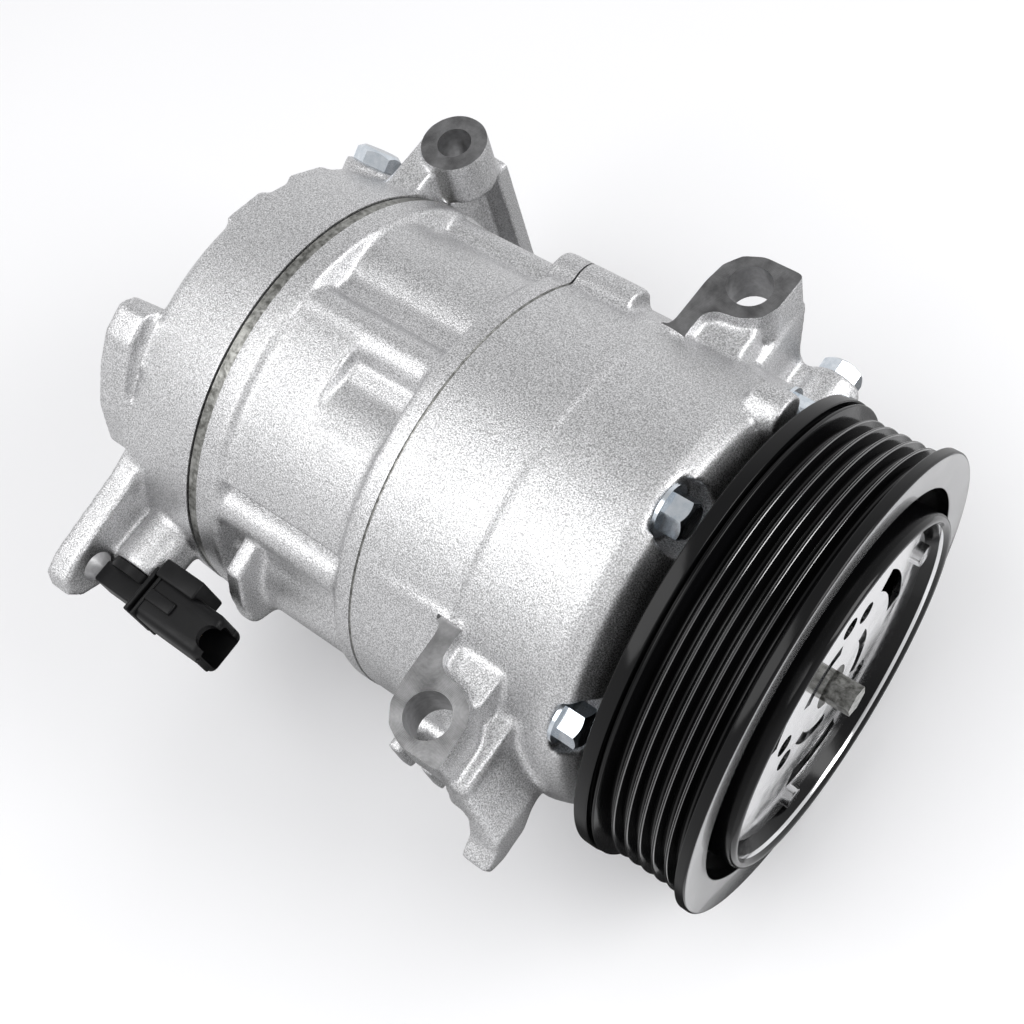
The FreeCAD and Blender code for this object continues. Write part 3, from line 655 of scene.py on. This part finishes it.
def valve_plug():
    """The connector in one moulding: arm, skirt over the valve, collar, latch and an open shell."""
    low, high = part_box("valve_connector")
    valve_x, _, valve_z = [(a + b) / 2 / MM for a, b in zip(*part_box("control_valve_body"))]
    cap_y, top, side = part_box("control_valve_body")[0].y / MM, high.z / MM, low.y / MM
    shell = moulded((-141, side + 0.4, 1.2), (-117, -69, top - 1), 2.2)
    arm = moulded((-156.5, side + 2, 3.2), (-139, cap_y + 0.2, 13.4), 0.8)
    skirt = turned_block((valve_x, cap_y - 0.5, valve_z), (valve_x, cap_y + 2.1, valve_z), 7.7)
    collars = [moulded((start, side, 0.8), (end, -68.4, top - 0.5), 0.4)
               for start, end in ((-142, -140.8), (-139.6, -138.6))]
    latch = moulded((-140.8, -70.5, 3.2), (-127.4, -65.2, top), 0.7)
    key = moulded((-138.8, -77, top - 1.8), (-130, -73.6, top - 0.1), 0.5)
    lip = moulded((-118.6, side, 5), (-117.2, side + 1.6, 11.5), 0.4)
    socket = moulded((-132, -80.2, 2.9), (-114, -70.8, 13.4), 1.3)
    top_notch = turned_block((-117.2, -75.6, 8), (-117.2, -75.6, 18), 3.3)
    side_notch = turned_block((-117.2, -60, 6), (-117.2, -71.2, 6), 1.6)
    added = [arm, skirt, *collars, latch, key, lip]
    removed = [socket, top_notch, side_notch]
    piece = new_piece("valve_plug", shell.data, "casing", "valve_connector",
                      material_slot="black_plastic")
    bpy.data.objects.remove(shell)
    for operation, tools in (("UNION", added), ("DIFFERENCE", removed)):
        for tool in tools:
            step = piece.modifiers.new(operation, "BOOLEAN")
            step.operation = operation
            step.solver = "MANIFOLD"
            step.object = tool
    applied(piece)
    for tool in added + removed:
        bpy.data.objects.remove(tool)
    piece.data.shade_smooth()
    piece.data.set_sharp_from_angle(angle=MOULDED_SHARP_ANGLE)
    paint(piece, MATERIALS["black_plastic"])


# ---------- details on carried nodes ----------


def soften(node, width):
    """Takes the sharpness off a CAD node's edges, without touching its mesh."""
    bevel = frame["nodes"][node].modifiers.new("edges", "BEVEL")
    bevel.width = width * MM
    bevel.segments = 2
    bevel.limit_method = "ANGLE"
    bevel.angle_limit = MOULDED_SHARP_ANGLE


# ---------- camera, light and floor ----------


def camera():
    """The photograph's view: direction from -Y towards +X, height and lean, in degrees."""
    data = bpy.data.cameras.new("camera")
    data.lens = 53.38
    data.sensor_width = 36
    data.clip_start = 0.01
    thing = bpy.data.objects.new("camera", data)
    azimuth, elevation, roll = math.radians(57.97), math.radians(61.7), math.radians(23.7)
    flat = math.cos(elevation)
    back = Vector((math.sin(azimuth) * flat, -math.cos(azimuth) * flat, math.sin(elevation)))
    level = Vector((math.cos(azimuth), math.sin(azimuth), 0))
    upright = back.cross(level)
    right = level * math.cos(roll) - upright * math.sin(roll)
    up = level * math.sin(roll) + upright * math.cos(roll)
    turn = Matrix((right, up, back)).transposed().to_4x4()
    thing.matrix_world = Matrix.Translation((0.07775, -0.1019, 0.34477)) @ turn
    bpy.context.scene.collection.objects.link(thing)
    bpy.context.scene.camera = thing


def soft_light(name, location, target, width, energy):
    data = bpy.data.lights.new(name, "AREA")
    data.size = width
    data.energy = energy
    thing = bpy.data.objects.new(name, data)
    aim = Vector(target) - Vector(location)
    thing.matrix_world = Matrix.Translation(location) @ aim.to_track_quat("-Z", "Y").to_matrix().to_4x4()
    bpy.context.scene.collection.objects.link(thing)


# The studio's brightness from straight down (0) to straight up (1).
SKY = [(0.0, 0.03), (0.05, 0.06), (0.1, 0.45), (0.25, 0.82),
       (0.5, 0.88), (0.75, 0.78), (0.9, 0.49), (1.0, 0.54)]


def backdrop():
    """A studio that is bright above and to the sides and dark below the object."""
    world = bpy.data.worlds.new("studio")
    world.use_nodes = True
    nodes, links = world.node_tree.nodes, world.node_tree.links
    split = nodes.new("ShaderNodeSeparateXYZ")
    links.new(nodes.new("ShaderNodeTexCoord").outputs["Generated"], split.inputs["Vector"])
    height = nodes.new("ShaderNodeMapRange")
    height.inputs["From Min"].default_value = -1
    links.new(split.outputs["Z"], height.inputs["Value"])
    band = nodes.new("ShaderNodeValToRGB")
    for _ in range(len(SKY) - 2):
        band.color_ramp.elements.new(0.5)
    for element, (position, value) in zip(band.color_ramp.elements, SKY):
        element.position = position
        element.color = (*grey(value), 1)
    links.new(height.outputs["Result"], band.inputs["Fac"])
    links.new(band.outputs["Color"], nodes["Background"].inputs["Color"])
    nodes["Background"].inputs["Strength"].default_value = 1.0
    bpy.context.scene.world = world


def reflector(height):
    """A pale card in front of the pulley, seen only in the mirror-like hub."""
    mesh = bpy.data.meshes.new("reflector")
    level = height + 0.5 * MM
    corners = [(0.022, -0.12), (0.30, -0.12), (0.30, 0.16), (0.022, 0.16)]
    mesh.from_pydata([(x, y, level) for x, y in corners], [], [(0, 1, 2, 3)])
    card = bpy.data.objects.new("reflector", mesh)
    bpy.context.scene.collection.objects.link(card)
    material, nodes, links, surface = shader("reflector", grey(0.8), 0.0, 0.9)
    vary(nodes, links, surface, "Emission Color", noise(nodes, links, 9, 2), grey(0.5), grey(1.0))
    surface.inputs["Emission Strength"].default_value = 0.32
    mesh.materials.append(material)
    card.visible_camera = card.visible_diffuse = card.visible_shadow = False
    card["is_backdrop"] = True


FLOOR_SPAN = 3.0


def studio():
    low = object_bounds()[0]
    mesh = bpy.data.meshes.new("floor")
    corners = [(-1, -1), (1, -1), (1, 1), (-1, 1)]
    mesh.from_pydata([(x * FLOOR_SPAN, y * FLOOR_SPAN, low[2]) for x, y in corners], [], [(0, 1, 2, 3)])
    floor = bpy.data.objects.new("floor", mesh)
    bpy.context.scene.collection.objects.link(floor)
    material, nodes, links, surface = shader("pale_floor", (0.93, 0.93, 0.93), 0.0, 0.8)
    vary(nodes, links, surface, "Base Color", noise(nodes, links, 3, 2), grey(0.92), grey(0.95))
    mesh.materials.append(material)
    floor.visible_glossy = False
    floor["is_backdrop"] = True
    reflector(low[2])
    backdrop()
    bpy.context.scene.view_settings.view_transform = "Standard"
    middle = (-0.07, 0, 0)
    soft_light("key", (-0.29, -0.30, 0.67), middle, width=0.55, energy=2.5)
    soft_light("fill", (0.6, 0.35, 0.5), middle, width=0.5, energy=4)


paint_carried_nodes()
for node in CASTINGS:
    casting(node)
pulley()
hub_ring()
through_bolts()
screwed_plug("relief_plug", "pressure_relief_valve", x=-159.5, angle=-58, inner=44, seat=60, flats=11,
             height=4.5)
screwed_plug("oil_plug_head", "oil_plug", x=-28.5, angle=-88, inner=54, seat=69.5, flats=10.4, height=4.5)
valve_plug()
soften("hub_plate", 0.25)
soften("drive_shaft", 0.25)
studio()
camera()
